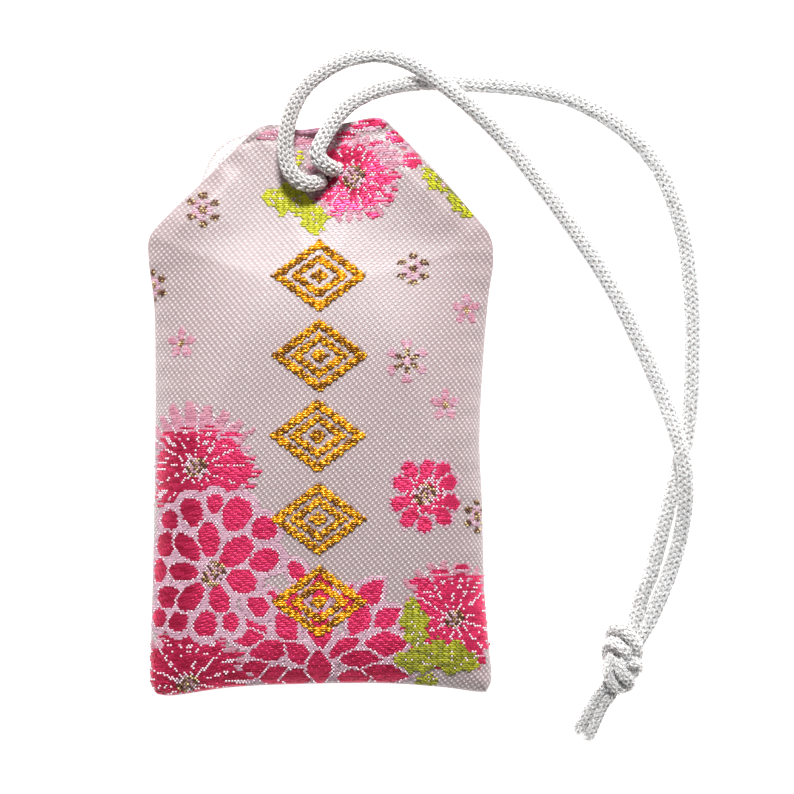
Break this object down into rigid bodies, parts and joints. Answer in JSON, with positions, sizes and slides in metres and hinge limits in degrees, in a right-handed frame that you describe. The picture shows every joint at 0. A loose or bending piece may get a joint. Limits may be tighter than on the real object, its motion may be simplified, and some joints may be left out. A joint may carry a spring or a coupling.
{
  "type": "omamori charm",
  "caption": "Padded brocade pouch with woven flowers, a paper-wrapped slip inside and a knitted white cord threaded near its mouth, tied in a knot to hang by.",
  "frame": {"origin": "on the table under the middle of the pouch, which lies on its back", "axes": "+Z out of the front face, +Y along the pouch towards its mouth, +X to the right seen from the front"},
  "size_m": [0.0722, 0.0909, 0.01],
  "materials": {
    "brocade": "silk-like satin brocade",
    "lining": "matt interfacing",
    "wadding": "soft wadding",
    "seam_thread": "sewing thread",
    "card": "uncoated",
    "paper": "soft washi",
    "wood": "planed, bare",
    "cord": "knitted cord"
  },
  "bodies": {
    "pouch": {"front_panel": "brocade", "back_panel": "brocade", "left_corner_tuck": "brocade", "right_corner_tuck": "brocade", "front_lining": "lining", "back_lining": "lining", "wadding_pad": "wadding", "bottom_seam": "seam_thread", "left_side_seam": "seam_thread", "right_side_seam": "seam_thread", "cord_bight": "cord"},
    "packet": {"card_stiffener": "card", "slip_wrapper": "paper", "prayer_slip": "wood"},
    "cord_loop": {"left_strand": "cord", "right_strand": "cord", "cord_knot": "cord", "left_tail": "cord", "right_tail": "cord"}
  },
  "joints": [
    {"name": "cord_swivel", "type": "hinge", "parent": "pouch", "child": "cord_loop", "pos_m": [0.001, 0.0303, 0.0066], "axis": [0, 0, 1], "range_deg": [-12, 30]},
    {"name": "packet_shift", "type": "slide", "parent": "pouch", "child": "packet", "axis": [0, 1, 0], "range_m": [-0.001, 0.001]}
  ]
}
